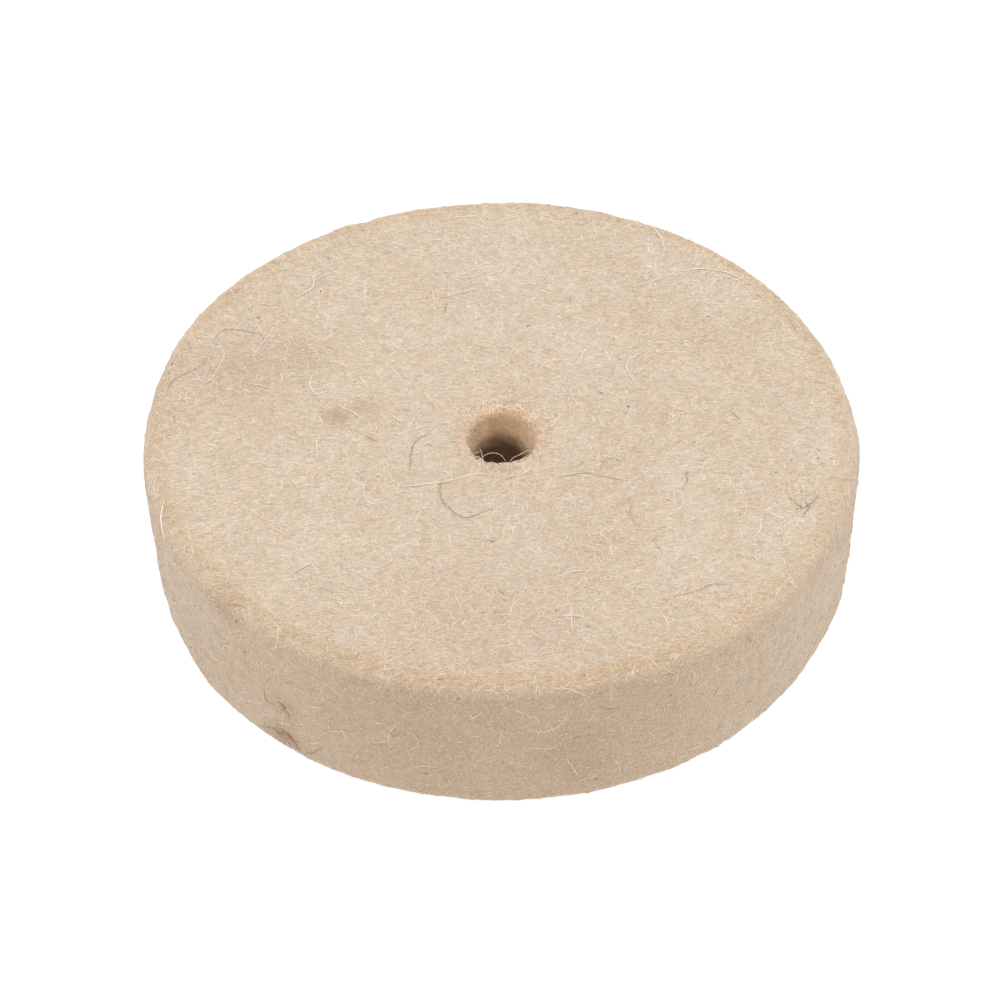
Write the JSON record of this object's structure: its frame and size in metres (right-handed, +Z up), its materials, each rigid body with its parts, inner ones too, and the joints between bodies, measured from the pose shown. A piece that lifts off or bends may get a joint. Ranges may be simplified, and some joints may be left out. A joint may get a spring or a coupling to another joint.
{
  "type": "felt polishing wheel",
  "caption": "Flat round polishing wheel of pressed wool felt, with softened rim edges and a plain arbor bore through its middle.",
  "frame": {"origin": "centre of the bore at the wheel's lower face", "axes": "+Z up along the bore axis, from the lower clamping face to the upper one; X and Y across the wheel, which is round"},
  "size_m": [0.1, 0.1, 0.023],
  "materials": {
    "wool_felt": "matt pressed wool felt, cream to light tan, with loose surface fibres"
  },
  "bodies": {
    "root": {"felt_wheel": "wool_felt"}
  },
  "joints": []
}
